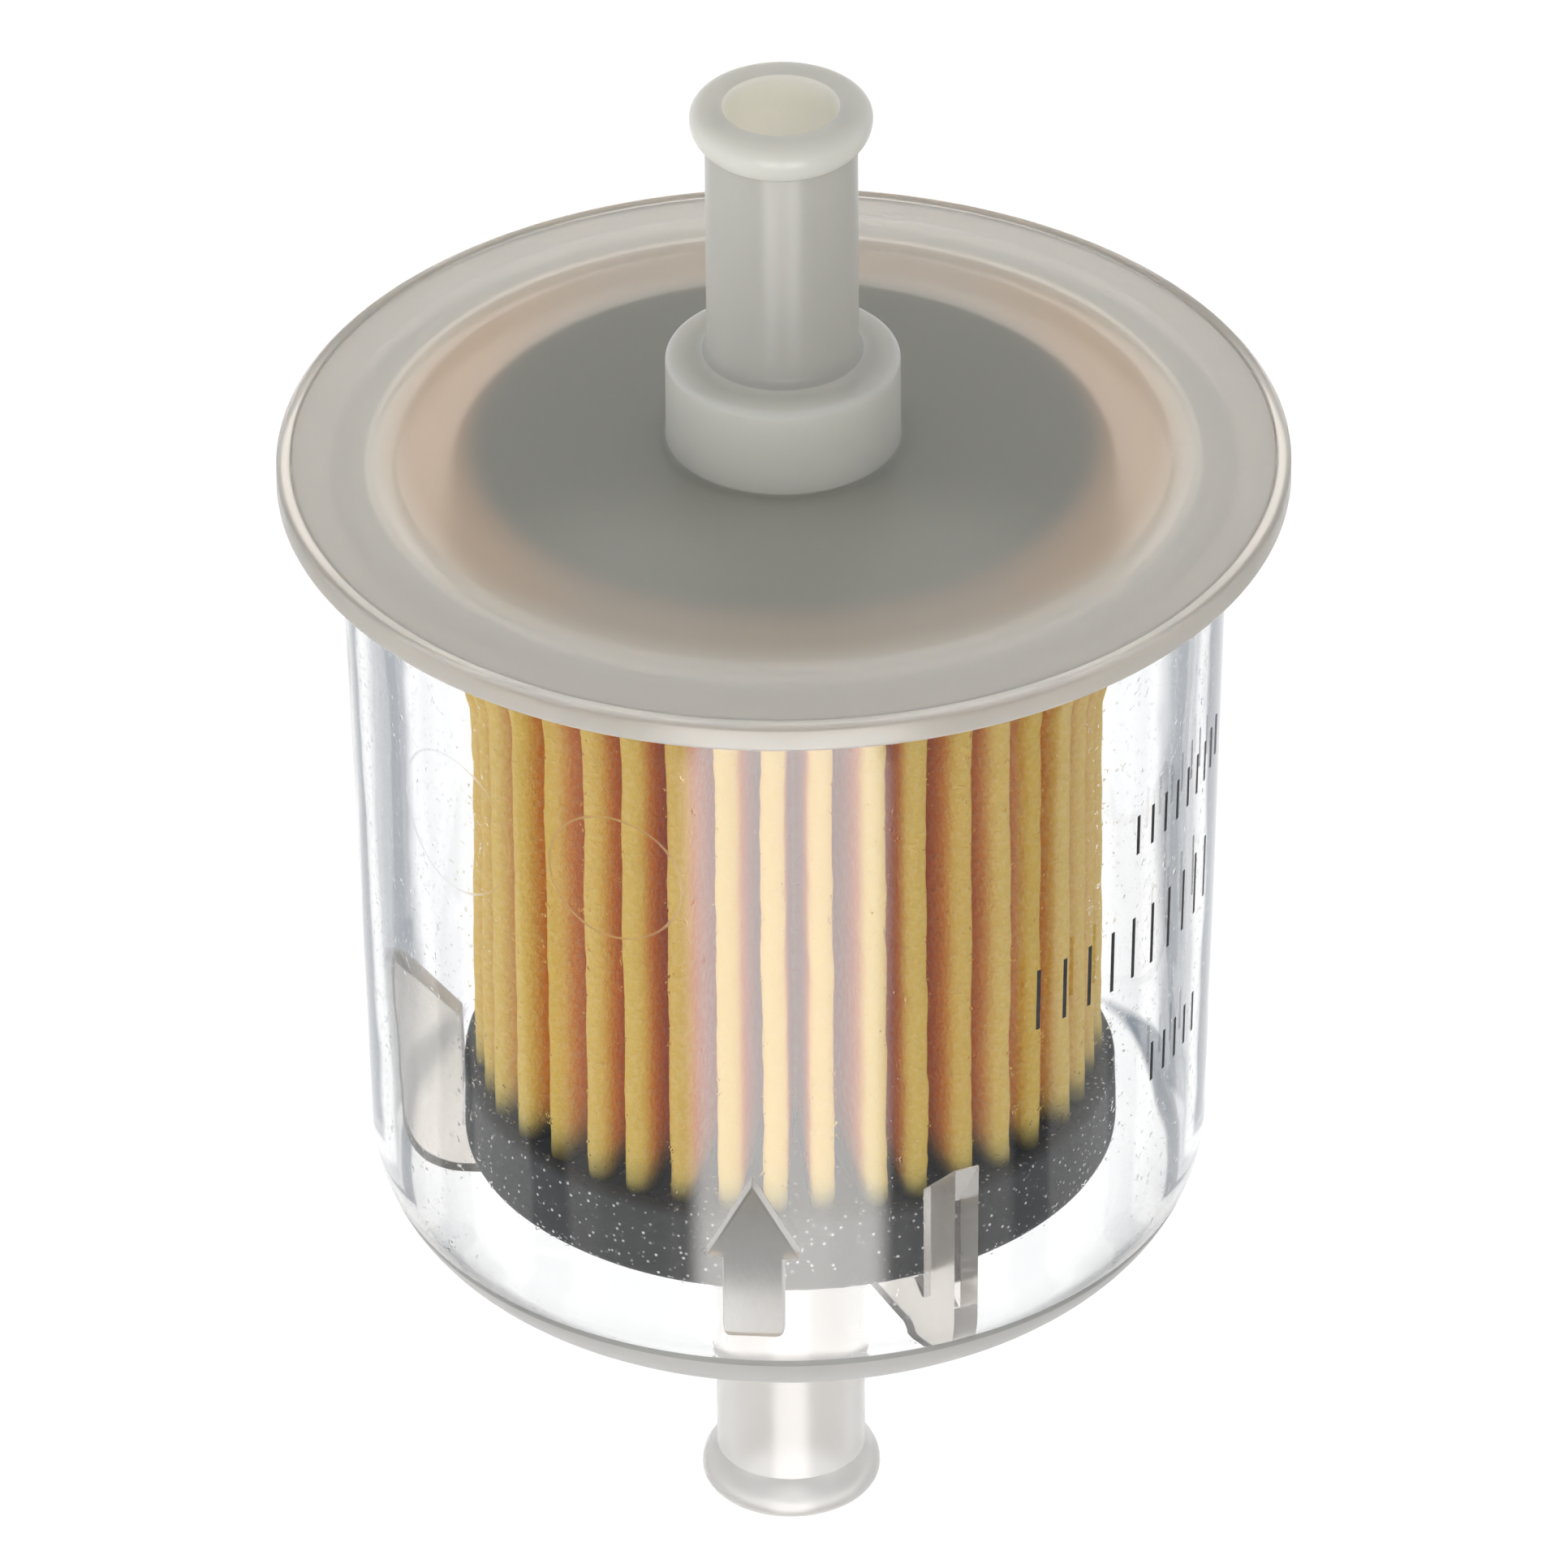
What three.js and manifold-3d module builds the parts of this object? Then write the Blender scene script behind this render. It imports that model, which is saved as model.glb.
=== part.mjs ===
// An inline fuel filter for a small engine: a clear nylon bowl with the inlet barb under it, a milky nylon
// cap with the outlet barb on it, and between them a pleated paper element potted in two rubbery end caps.
// Millimetres. The axis is +Z, along the flow. z = 0 is the end of the inlet barb, and the front faces -Y.
import * as THREE from "three";
import * as BufferGeometryUtils from "three/addons/utils/BufferGeometryUtils.js";
import Module from "manifold-3d";

const TURN = 2 * Math.PI;
const FACETS = 60; // round every turned piece, a multiple of 4 so that it touches all four sides of its box
const GAP = 0.1; // between pieces that touch on the real filter

// Hose barbs, for 1/4 inch (6.35 mm) fuel hose. Both ends are the same.
const LENGTH = 71.55;
const BORE_R = 2.45;
const STEM_R = 3.3;
const BEAD_R = 3.96;
const BEAD_TIP_ARC = 0.7; // the bead's rounding towards the end of the barb
const BEAD_STEM_ARC = 1.44; // and towards the stem
const BORE_LIP = 0.3;

// Bowl
const FLANGE_R = 22;
const FLANGE_TOP_Z = 53.9;
const FLANGE_EDGE = 1.3;
const FLANGE_LIP = 0.55; // the raised lip that the cap's disc is welded inside
const SEAT_Z = FLANGE_TOP_Z - 0.65; // the face that the disc lies on
const WALL_TOP_R = 19.35;
const WALL_FOOT_R = 18.4;
const FLOOR_Z = 15.1;
const CORNER_R = 5.2;
const INNER_CORNER_R = 2.9;
const WALL = 1.3; // at the flange, and the floor's thickness
const FOOT_WALL = 1; // the wall is thinner just over the floor

// Ribs in the bowl that centre the element and hold it off the floor
const RIB_COUNT = 3;
const RIB_FIRST_DEG = 25.4; // from the front, towards +X
const RIB_THICKNESS = 1.1;
const RIB_COVER = 0.4; // of the bowl's wall and floor outside the ribs' outline, where they merge
const RIB_TOP_Z = 27.3;
const RIB_SHOULDER_Z = 24.6;
const RIB_INNER_R = 14.5;
const FOOT_TOP_Z = 19.4;
const FOOT_INNER_R = 5.5;
const NOTCH_Z = 18.7;
const NOTCH_WIDTH = 0.9;

// Flow arrow, raised on the outside of the wall, pointing up
const ARROW_DEG = -4.9;
const ARROW_BOTTOM_Z = 20.3;
const ARROW_TIP_Z = 28.3;
const ARROW_HEAD = 3.8; // height of the head
const ARROW_HEAD_HALF = 1.95;
const ARROW_SHAFT_HALF = 1.28;
const ARROW_RELIEF = 0.45; // how far it stands out of the wall

// Outlet cap
const DISC_R = FLANGE_R - FLANGE_LIP - GAP;
const STEP_R = 19.3; // the step in the disc's top, over the bowl's wall
const STEP_RISE = 0.3;
const CROWN_RISE = 0.9; // the disc's height over the flange where it meets the hub
const HUB_R = 5.1;
const HUB_TOP_Z = 59;
const HUB_EDGE = 0.35;
const STEM_FILLET = 0.7;
const DISC_UNDER_Z = SEAT_Z + GAP;
const SKIRT_OUTER_R = 17.75; // the skirt that drops into the bowl's mouth
const SKIRT_INNER_R = 16.75;
const SKIRT_DROP = 1.6;
const SPIGOT_R = 3.7; // the spigot that the element's upper end cap seals on
const SPIGOT_DROP = 2.4;

// Element
const END_CAP_R = 14.3;
const LOWER_CAP_Z = 19.7;
const LOWER_CAP_TOP_Z = 23.6;
const UPPER_CAP_Z = 49.4;
const UPPER_CAP_TOP_Z = DISC_UNDER_Z - GAP;
const END_CAP_EDGE = 0.5;
const OUTLET_HOLE_R = SPIGOT_R + GAP;
const LOWER_CAP_DIMPLE_R = 4;
const LOWER_CAP_DIMPLE = 1.6;
const PLEATS = 40;
const PLEAT_TIP_R = 13.8;
const PLEAT_ROOT_R = 7.2;
const PAPER = 0.42; // thickness
const FOLD_R = 0.29; // of the paper's middle line
const FOLD_STEPS = 3;
const SEAM_THICKNESS = 0.5;
const SEAM_ROOT_R = 9;
const SEAM_TIP_R = 13.2;

const COLOURS = {
  clearNylon: { color: 0xe9edf0, roughness: 0.12, metalness: 0, transparent: true, opacity: 0.35 },
  milkyNylon: { color: 0xb9b8ae, roughness: 0.35, metalness: 0 },
  paper: { color: 0xd9b25c, roughness: 0.9, metalness: 0 },
  plastisol: { color: 0x4a4a4b, roughness: 0.7, metalness: 0 },
  glue: { color: 0xd8cfae, roughness: 0.5, metalness: 0 },
};

const wasm = await Module();
wasm.setup();

function solidOf(geometry) {
  const bare = geometry.clone();
  bare.deleteAttribute("normal");
  bare.deleteAttribute("uv");
  const merged = BufferGeometryUtils.mergeVertices(bare, 1e-5);
  return new wasm.Manifold(new wasm.Mesh({
    numProp: 3,
    vertProperties: new Float32Array(merged.attributes.position.array),
    triVerts: new Uint32Array(merged.index.array),
  }));
}

function geometryOf(solid) {
  const mesh = solid.getMesh();
  const geometry = new THREE.BufferGeometry();
  geometry.setAttribute("position", new THREE.BufferAttribute(new Float32Array(mesh.vertProperties), 3));
  geometry.setIndex(new THREE.BufferAttribute(new Uint32Array(mesh.triVerts), 1));
  geometry.computeVertexNormals();
  return geometry;
}

// Points (r, z) of an arc about (r, z) from one angle to another, in degrees from +r towards +z
function arc(r, z, radius, from, to, steps) {
  const points = [];
  for (let i = 0; i <= steps; i++) {
    const angle = THREE.MathUtils.degToRad(from + (to - from) * i / steps);
    points.push([r + radius * Math.cos(angle), z + radius * Math.sin(angle)]);
  }
  return points;
}

// Turns a closed (r, z) outline about the Z axis. The outline runs anticlockwise, seen with r to the right.
function turned(outline) {
  const profile = outline.map(([r, z]) => new THREE.Vector2(r, z));
  profile.push(profile[0].clone());
  const geometry = new THREE.LatheGeometry(profile, FACETS);
  geometry.rotateX(Math.PI / 2);
  return geometry;
}

// The barb's outside, from its stem to its bore, for a barb that ends at z = 0 and points down
function barbOutline() {
  const beadZ = BEAD_TIP_ARC;
  const stemSide = THREE.MathUtils.radToDeg(Math.acos((STEM_R - BEAD_R + BEAD_STEM_ARC) / BEAD_STEM_ARC));
  return [
    ...arc(BEAD_R - BEAD_STEM_ARC, beadZ, BEAD_STEM_ARC, stemSide, 0, 4),
    ...arc(BEAD_R - BEAD_TIP_ARC, beadZ, BEAD_TIP_ARC, 0, -90, 4).slice(1),
    [BORE_R + BORE_LIP, 0],
    [BORE_R, BORE_LIP],
  ];
}

// A flat plate with an (r, z) outline, standing in the plane of the axis, at an angle from the front
function radialPlate(outline, thickness, degrees) {
  const shape = new THREE.Shape(outline.map(([r, z]) => new THREE.Vector2(r, z)));
  const geometry = new THREE.ExtrudeGeometry(shape, { depth: thickness, bevelEnabled: false });
  geometry.translate(0, 0, -thickness / 2);
  geometry.rotateX(Math.PI / 2);
  geometry.rotateZ(-Math.PI / 2 + THREE.MathUtils.degToRad(degrees));
  return geometry;
}

function bowlRib(degrees) {
  const cornerArc = CORNER_R - RIB_COVER;
  const outline = [
    [FOOT_INNER_R, FLOOR_Z + RIB_COVER],
    ...arc(WALL_FOOT_R - CORNER_R, FLOOR_Z + CORNER_R, cornerArc, -90, 0, 4),
    [WALL_FOOT_R - RIB_COVER, RIB_TOP_Z],
    [WALL_FOOT_R - FOOT_WALL, RIB_TOP_Z],
    [RIB_INNER_R, RIB_SHOULDER_Z],
    [RIB_INNER_R, NOTCH_Z],
    [RIB_INNER_R - NOTCH_WIDTH, FOOT_TOP_Z],
    [FOOT_INNER_R, FOOT_TOP_Z],
  ];
  return radialPlate(outline, RIB_THICKNESS, degrees);
}

// The arrow is an extruded outline wrapped round the wall: x becomes an angle, depth becomes a radius.
function flowArrow() {
  const headZ = ARROW_TIP_Z - ARROW_HEAD;
  const wallSlope = (WALL_TOP_R - WALL_FOOT_R) / (FLANGE_TOP_Z - FLOOR_Z - CORNER_R);
  const shape = new THREE.Shape([
    [-ARROW_SHAFT_HALF, ARROW_BOTTOM_Z],
    [ARROW_SHAFT_HALF, ARROW_BOTTOM_Z],
    [ARROW_SHAFT_HALF, headZ],
    [ARROW_HEAD_HALF, headZ],
    [0, ARROW_TIP_Z],
    [-ARROW_HEAD_HALF, headZ],
    [-ARROW_SHAFT_HALF, headZ],
  ].map(([x, z]) => new THREE.Vector2(x, z)));
  const depth = WALL / 2 + ARROW_RELIEF;
  const geometry = new THREE.ExtrudeGeometry(shape, { depth, bevelEnabled: false });
  const position = geometry.attributes.position;
  for (let i = 0; i < position.count; i++) {
    const z = position.getY(i);
    const wallR = WALL_FOOT_R + wallSlope * Math.max(0, z - FLOOR_Z - CORNER_R);
    const r = wallR - WALL / 2 + position.getZ(i);
    const angle = THREE.MathUtils.degToRad(ARROW_DEG) + position.getX(i) / WALL_FOOT_R;
    position.setXYZ(i, r * Math.sin(angle), -r * Math.cos(angle), z);
  }
  return geometry;
}

function inletBowl() {
  const innerFootR = WALL_FOOT_R - FOOT_WALL - INNER_CORNER_R;
  const innerCornerZ = FLOOR_Z + WALL + INNER_CORNER_R;
  const barb = barbOutline();
  const outline = [
    ...barb.slice().reverse(),
    [STEM_R, FLOOR_Z],
    ...arc(WALL_FOOT_R - CORNER_R, FLOOR_Z + CORNER_R, CORNER_R, -90, 0, 6),
    [WALL_TOP_R, FLANGE_TOP_Z - FLANGE_EDGE],
    [FLANGE_R - 0.15, FLANGE_TOP_Z - FLANGE_EDGE],
    [FLANGE_R, FLANGE_TOP_Z - FLANGE_EDGE + 0.15],
    [FLANGE_R, FLANGE_TOP_Z - 0.15],
    [FLANGE_R - 0.15, FLANGE_TOP_Z],
    [FLANGE_R - FLANGE_LIP, FLANGE_TOP_Z],
    [FLANGE_R - FLANGE_LIP, SEAT_Z],
    [WALL_TOP_R - WALL, SEAT_Z],
    ...arc(innerFootR, innerCornerZ, INNER_CORNER_R, 0, -90, 5),
    [BORE_R, FLOOR_Z + WALL],
  ];
  const ribs = Array.from({ length: RIB_COUNT }, (_, i) => bowlRib(RIB_FIRST_DEG + i * 360 / RIB_COUNT));
  let solid = solidOf(turned(outline));
  for (const rib of [...ribs, flowArrow()]) {
    solid = solid.add(solidOf(rib));
  }
  return geometryOf(solid);
}

function outletCap() {
  const barb = barbOutline().map(([r, z]) => [r, LENGTH - z]);
  const outline = [
    [BORE_R, DISC_UNDER_Z - SPIGOT_DROP],
    [SPIGOT_R, DISC_UNDER_Z - SPIGOT_DROP],
    [SPIGOT_R, DISC_UNDER_Z],
    [SKIRT_INNER_R, DISC_UNDER_Z],
    [SKIRT_INNER_R, DISC_UNDER_Z - SKIRT_DROP],
    [SKIRT_OUTER_R, DISC_UNDER_Z - SKIRT_DROP],
    [SKIRT_OUTER_R, DISC_UNDER_Z],
    [DISC_R, DISC_UNDER_Z],
    [DISC_R, FLANGE_TOP_Z],
    [STEP_R + 0.4, FLANGE_TOP_Z],
    [STEP_R, FLANGE_TOP_Z + STEP_RISE],
    [HUB_R, FLANGE_TOP_Z + CROWN_RISE],
    ...arc(HUB_R - HUB_EDGE, HUB_TOP_Z - HUB_EDGE, HUB_EDGE, 0, 90, 3),
    ...arc(STEM_R + STEM_FILLET, HUB_TOP_Z + STEM_FILLET, STEM_FILLET, -90, -180, 3),
    ...barb,
  ];
  return turned(outline);
}

// An end cap is a moulded ring or disc of plastisol with rounded outer edges.
function upperEndCap() {
  return turned([
    [OUTLET_HOLE_R, UPPER_CAP_Z],
    ...arc(END_CAP_R - END_CAP_EDGE, UPPER_CAP_Z + END_CAP_EDGE, END_CAP_EDGE, -90, 0, 3),
    ...arc(END_CAP_R - END_CAP_EDGE, UPPER_CAP_TOP_Z - END_CAP_EDGE, END_CAP_EDGE, 0, 90, 3),
    [OUTLET_HOLE_R, UPPER_CAP_TOP_Z],
  ]);
}

function lowerEndCap() {
  const profile = [
    [0, LOWER_CAP_Z],
    ...arc(END_CAP_R - END_CAP_EDGE, LOWER_CAP_Z + END_CAP_EDGE, END_CAP_EDGE, -90, 0, 3),
    ...arc(END_CAP_R - END_CAP_EDGE, LOWER_CAP_TOP_Z - END_CAP_EDGE, END_CAP_EDGE, 0, 90, 3),
    [LOWER_CAP_DIMPLE_R, LOWER_CAP_TOP_Z],
    [LOWER_CAP_DIMPLE_R - 1, LOWER_CAP_TOP_Z - LOWER_CAP_DIMPLE],
    [0, LOWER_CAP_TOP_Z - LOWER_CAP_DIMPLE],
  ].map(([r, z]) => new THREE.Vector2(r, z));
  const geometry = new THREE.LatheGeometry(profile, FACETS);
  geometry.rotateX(Math.PI / 2);
  return geometry;
}

// The middle line of the folded paper, seen from above: a fold out at the tip of each pleat and a fold in
// at its root, joined by straight sides. It starts and ends at the back, either side of the seam.
function paperLine() {
  const pitch = TURN / PLEATS;
  const tipFoldR = PLEAT_TIP_R - PAPER / 2 - FOLD_R;
  const rootFoldR = PLEAT_ROOT_R + PAPER / 2 + FOLD_R;
  const back = Math.PI / 2;
  const points = [];
  const addFold = (angle, centreR, outward) => {
    const centre = new THREE.Vector2(centreR, 0).rotateAround(new THREE.Vector2(), angle);
    for (let i = 0; i <= FOLD_STEPS; i++) {
      const turn = Math.PI * (i / FOLD_STEPS - 0.5);
      const side = outward ? turn : Math.PI - turn;
      points.push(new THREE.Vector2(FOLD_R, 0).rotateAround(new THREE.Vector2(), angle + side).add(centre));
    }
  };
  const seamOffset = (SEAM_THICKNESS + PAPER) / 2 + GAP;
  const along = new THREE.Vector2(Math.cos(back), Math.sin(back));
  const across = new THREE.Vector2(-along.y, along.x);
  points.push(along.clone().multiplyScalar(SEAM_TIP_R).addScaledVector(across, seamOffset));
  points.push(along.clone().multiplyScalar(rootFoldR + 1.2).addScaledVector(across, seamOffset));
  for (let i = 1; i < PLEATS; i++) {
    addFold(back + (i - 0.5) * pitch, rootFoldR, false);
    addFold(back + i * pitch, tipFoldR, true);
  }
  addFold(back + (PLEATS - 0.5) * pitch, rootFoldR, false);
  points.push(along.clone().multiplyScalar(rootFoldR + 1.2).addScaledVector(across, -seamOffset));
  points.push(along.clone().multiplyScalar(SEAM_TIP_R).addScaledVector(across, -seamOffset));
  return points;
}

function offsetLine(points, distance) {
  return points.map((point, i) => {
    const before = points[Math.max(i - 1, 0)];
    const after = points[Math.min(i + 1, points.length - 1)];
    const along = after.clone().sub(before).normalize();
    return new THREE.Vector2(along.y, -along.x).multiplyScalar(distance).add(point);
  });
}

function pleatedPaper() {
  const line = paperLine();
  const outside = offsetLine(line, PAPER / 2);
  const inside = offsetLine(line, -PAPER / 2);
  const shape = new THREE.Shape([...outside, ...inside.reverse()]);
  const bottom = LOWER_CAP_TOP_Z + GAP;
  const geometry = new THREE.ExtrudeGeometry(shape, { depth: UPPER_CAP_Z - GAP - bottom, bevelEnabled: false });
  geometry.translate(0, 0, bottom);
  return geometry;
}

function paperSeam() {
  const bottom = LOWER_CAP_TOP_Z + GAP;
  const height = UPPER_CAP_Z - GAP - bottom;
  const geometry = new THREE.BoxGeometry(SEAM_THICKNESS, SEAM_TIP_R - SEAM_ROOT_R, height);
  geometry.translate(0, (SEAM_TIP_R + SEAM_ROOT_R) / 2, bottom + height / 2);
  return geometry;
}

function piece(name, geometry, look) {
  const mesh = new THREE.Mesh(geometry, new THREE.MeshStandardMaterial(look));
  mesh.name = name;
  return mesh;
}

const filter = new THREE.Group();
filter.add(
  piece("inlet_bowl", inletBowl(), COLOURS.clearNylon),
  piece("outlet_cap", outletCap(), COLOURS.milkyNylon),
  piece("upper_end_cap", upperEndCap(), COLOURS.plastisol),
  piece("lower_end_cap", lowerEndCap(), COLOURS.plastisol),
  piece("pleated_paper", pleatedPaper(), COLOURS.paper),
  piece("paper_seam", paperSeam(), COLOURS.glue),
);

export default filter;
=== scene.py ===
"""The looks of an inline fuel filter: clear nylon bowl, milky nylon cap, pleated paper element.

Outlines are (r, z) in millimetres about the filter's axis, with z = 0 at the end of the inlet barb. The
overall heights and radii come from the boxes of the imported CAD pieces. Points are scaled to metres when a
mesh is made.
"""

import math
import random

import bmesh
import bpy
from mathutils import Matrix, Vector, noise


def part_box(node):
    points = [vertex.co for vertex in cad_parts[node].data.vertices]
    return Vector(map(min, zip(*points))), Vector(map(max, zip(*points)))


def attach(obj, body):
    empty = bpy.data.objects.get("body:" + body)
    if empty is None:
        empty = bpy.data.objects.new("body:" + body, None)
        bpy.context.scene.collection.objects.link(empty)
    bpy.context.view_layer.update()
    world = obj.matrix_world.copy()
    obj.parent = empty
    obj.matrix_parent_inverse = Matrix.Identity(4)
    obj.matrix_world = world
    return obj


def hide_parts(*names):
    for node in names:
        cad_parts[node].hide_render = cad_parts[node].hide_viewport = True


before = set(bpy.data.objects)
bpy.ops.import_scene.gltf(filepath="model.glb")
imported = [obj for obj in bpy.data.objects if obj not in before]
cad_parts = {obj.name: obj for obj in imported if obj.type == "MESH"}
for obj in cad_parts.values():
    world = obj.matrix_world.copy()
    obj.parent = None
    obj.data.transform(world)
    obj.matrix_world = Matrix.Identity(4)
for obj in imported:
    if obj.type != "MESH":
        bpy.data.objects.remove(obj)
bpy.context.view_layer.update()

MM = 0.001


def node_mm(node):
    """Lowest z, highest z and largest x of a CAD node, in millimetres."""
    low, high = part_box(node)
    return low.z / MM, high.z / MM, high.x / MM


# ---------------------------------------------------------------- sizes, in millimetres

_, FLANGE_TOP, FLANGE_R = node_mm("inlet_bowl")
_, LENGTH, DISC_R = node_mm("outlet_cap")
LOWER_CAP_Z, LOWER_CAP_TOP, END_CAP_R = node_mm("lower_end_cap")
UPPER_CAP_Z, UPPER_CAP_TOP, _ = node_mm("upper_end_cap")

BORE_R = 2.45
STEM_R = 3.3
BEAD_R = 3.96
BEAD_TIP_ARC = 0.7
BEAD_STEM_ARC = 1.44

FLANGE_EDGE = 1.3
SEAT_Z = FLANGE_TOP - 0.65
WALL_TOP_R = 19.35
WALL_FOOT_R = 18.4
FLOOR_Z = 15.1
CORNER_R = 5.2
INNER_CORNER_R = 2.9
WALL = 1.3  # at the flange, and the floor's thickness
FOOT_WALL = 1.0
UNDER_FLANGE = FLANGE_TOP - FLANGE_EDGE
CORNER_TOP = FLOOR_Z + CORNER_R  # where the rounded corner meets the wall

RIBS = 3
RIB_THICK = 1.1
RIB_FIRST_DEG = 25.4  # from the front
RIB_TOP = 27.3
RIB_SHOULDER = 24.6
RIB_NOTCH = 18.7
RIB_SHELF = 19.4
RIB_UPPER_R = 14.5  # inner edge beside the element
RIB_SHELF_R = 13.6  # outer edge of the shelf under the element
RIB_SHELF_INNER_R = 5.5
RIB_BURIED = 0.4  # how deep a rib's edge lies inside the wall and the floor

ARROW_FOOT = 20.3
ARROW_TIP = 28.3
ARROW_HEAD = 3.8
ARROW_HALF = 1.28
ARROW_HEAD_HALF = 1.95
ARROW_DEG = -4.9  # from the front

HUB_R = 5.1
HUB_TOP = 59.0
STEP_R = 19.3
CAP_UNDER = SEAT_Z + 0.05  # the disc's underside
RIM_GAP = 0.02  # between the disc and the flange's lip
SPIGOT_R = 3.7
SPIGOT_DEPTH = 2.4
SKIRT_IN_R = 16.75
SKIRT_OUT_R = 17.75
SKIRT_DEPTH = 1.6

PLEATS = 40
PLEAT_TIP_R = 13.8
PLEAT_ROOT_R = 7.2
PAPER_THICK = 0.42
FOLD_R = 0.3
PHASE = math.radians(-90 - 2.2)  # angle of the first pleat's tip, from +X
END_CAP_HOLE_R = 3.8

ROUND = 288  # facets round the turned pieces

# Rows of printed bars on the wall: z of the foot, height, first and last degrees from the front, step
MARK_ROWS = [(40.4, 2.0, 53, 80, 3.3), (34.0, 3.1, 35, 76, 4.4), (27.6, 2.0, 58, 73, 3.3)]
MARK_WIDTH_DEG = 0.6

# Faint rings the mould left on the wall: degrees from the front, z, radius, added roughness
MOULD_RINGS = [(-23, 43.4, 3.1, 0.3), (-49, 43.0, 3.4, 0.15)]


def wall_r(z):
    """Outside radius of the bowl's wall at a height."""
    return WALL_FOOT_R + (WALL_TOP_R - WALL_FOOT_R) * (z - CORNER_TOP) / (UNDER_FLANGE - CORNER_TOP)


def inner_wall_r(z):
    """Inside radius of the bowl's wall at a height."""
    share = (wall_r(z) - WALL_FOOT_R) / (WALL_TOP_R - WALL_FOOT_R)
    return wall_r(z) - FOOT_WALL - (WALL - FOOT_WALL) * share


# ---------------------------------------------------------------- mesh helpers


def arc(r, z, radius, start, end, steps):
    """Points of an arc about (r, z), from one angle to another, in degrees from +r towards +z."""
    points = []
    for i in range(steps + 1):
        a = math.radians(start + (end - start) * i / steps)
        points.append((r + radius * math.cos(a), z + radius * math.sin(a)))
    return points


def rounded(corners, steps=5):
    """A closed outline through (r, z, fillet) corners, each fillet an arc."""
    outline = []
    count = len(corners)
    for i, (r, z, fillet) in enumerate(corners):
        here = Vector((r, z))
        before = Vector(corners[i - 1][:2]) - here
        after = Vector(corners[(i + 1) % count][:2]) - here
        if fillet <= 0:
            outline.append((r, z))
            continue
        half = before.angle(after) / 2
        reach = fillet / math.tan(half)
        start = here + before.normalized() * reach
        centre = here + (before.normalized() + after.normalized()).normalized() * fillet / math.sin(half)
        first = start - centre
        last = here + after.normalized() * reach - centre
        turn = first.angle_signed(last)
        for k in range(steps + 1):
            spoke = first.copy()
            spoke.rotate(Matrix.Rotation(-turn * k / steps, 2))
            outline.append(tuple(centre + spoke))
    return outline


def new_object(name, bm, sharp_deg=32):
    mesh = bpy.data.meshes.new(name)
    bmesh.ops.recalc_face_normals(bm, faces=bm.faces)
    bm.to_mesh(mesh)
    bm.free()
    mesh.polygons.foreach_set("use_smooth", [True] * len(mesh.polygons))
    mesh.set_sharp_from_angle(angle=math.radians(sharp_deg))
    piece = bpy.data.objects.new(name, mesh)
    bpy.context.scene.collection.objects.link(piece)
    return piece


def turned(name, outline, facets=ROUND, shift=None):
    """Turns a closed outline about Z. shift(r, z, angle) may move a point, and gives its new r and z."""
    bm = bmesh.new()
    rings = []
    for k in range(facets):
        a = 2 * math.pi * k / facets
        ring = []
        for r, z in outline:
            if shift:
                r, z = shift(r, z, a)
            ring.append(bm.verts.new((r * math.cos(a) * MM, r * math.sin(a) * MM, z * MM)))
        rings.append(ring)
    count = len(outline)
    for k in range(facets):
        here, there = rings[k], rings[(k + 1) % facets]
        for i in range(count):
            j = (i + 1) % count
            bm.faces.new((here[i], here[j], there[j], there[i]))
    return new_object(name, bm)


def close_poles(piece):
    """Joins the points that lie on the axis, for an outline that touches it."""
    bm = bmesh.new()
    bm.from_mesh(piece.data)
    bmesh.ops.remove_doubles(bm, verts=bm.verts, dist=1e-7)
    bmesh.ops.dissolve_degenerate(bm, edges=bm.edges, dist=1e-8)
    bm.to_mesh(piece.data)
    bm.free()


def union(piece, others):
    """Joins closed meshes into one skin with exact booleans."""
    for other in others:
        cut = piece.modifiers.new("join", "BOOLEAN")
        cut.operation = "UNION"
        cut.solver = "EXACT"
        cut.object = other
        depsgraph = bpy.context.evaluated_depsgraph_get()
        joined = bpy.data.meshes.new_from_object(piece.evaluated_get(depsgraph))
        piece.modifiers.clear()
        piece.data = joined
        bpy.data.objects.remove(other)


def barb():
    """The barb's outline from its stem, round the bead to the bore, for a barb that ends at z = 0."""
    stem_side = math.degrees(math.acos((STEM_R - BEAD_R + BEAD_STEM_ARC) / BEAD_STEM_ARC))
    return (
        arc(BEAD_R - BEAD_STEM_ARC, BEAD_TIP_ARC, BEAD_STEM_ARC, stem_side, 0, 8)
        + arc(BEAD_R - BEAD_TIP_ARC, BEAD_TIP_ARC, BEAD_TIP_ARC, 0, -90, 8)[1:]
        + arc(BORE_R + 0.35, 0.35, 0.35, -90, -180, 6)
    )


# ---------------------------------------------------------------- materials


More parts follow.
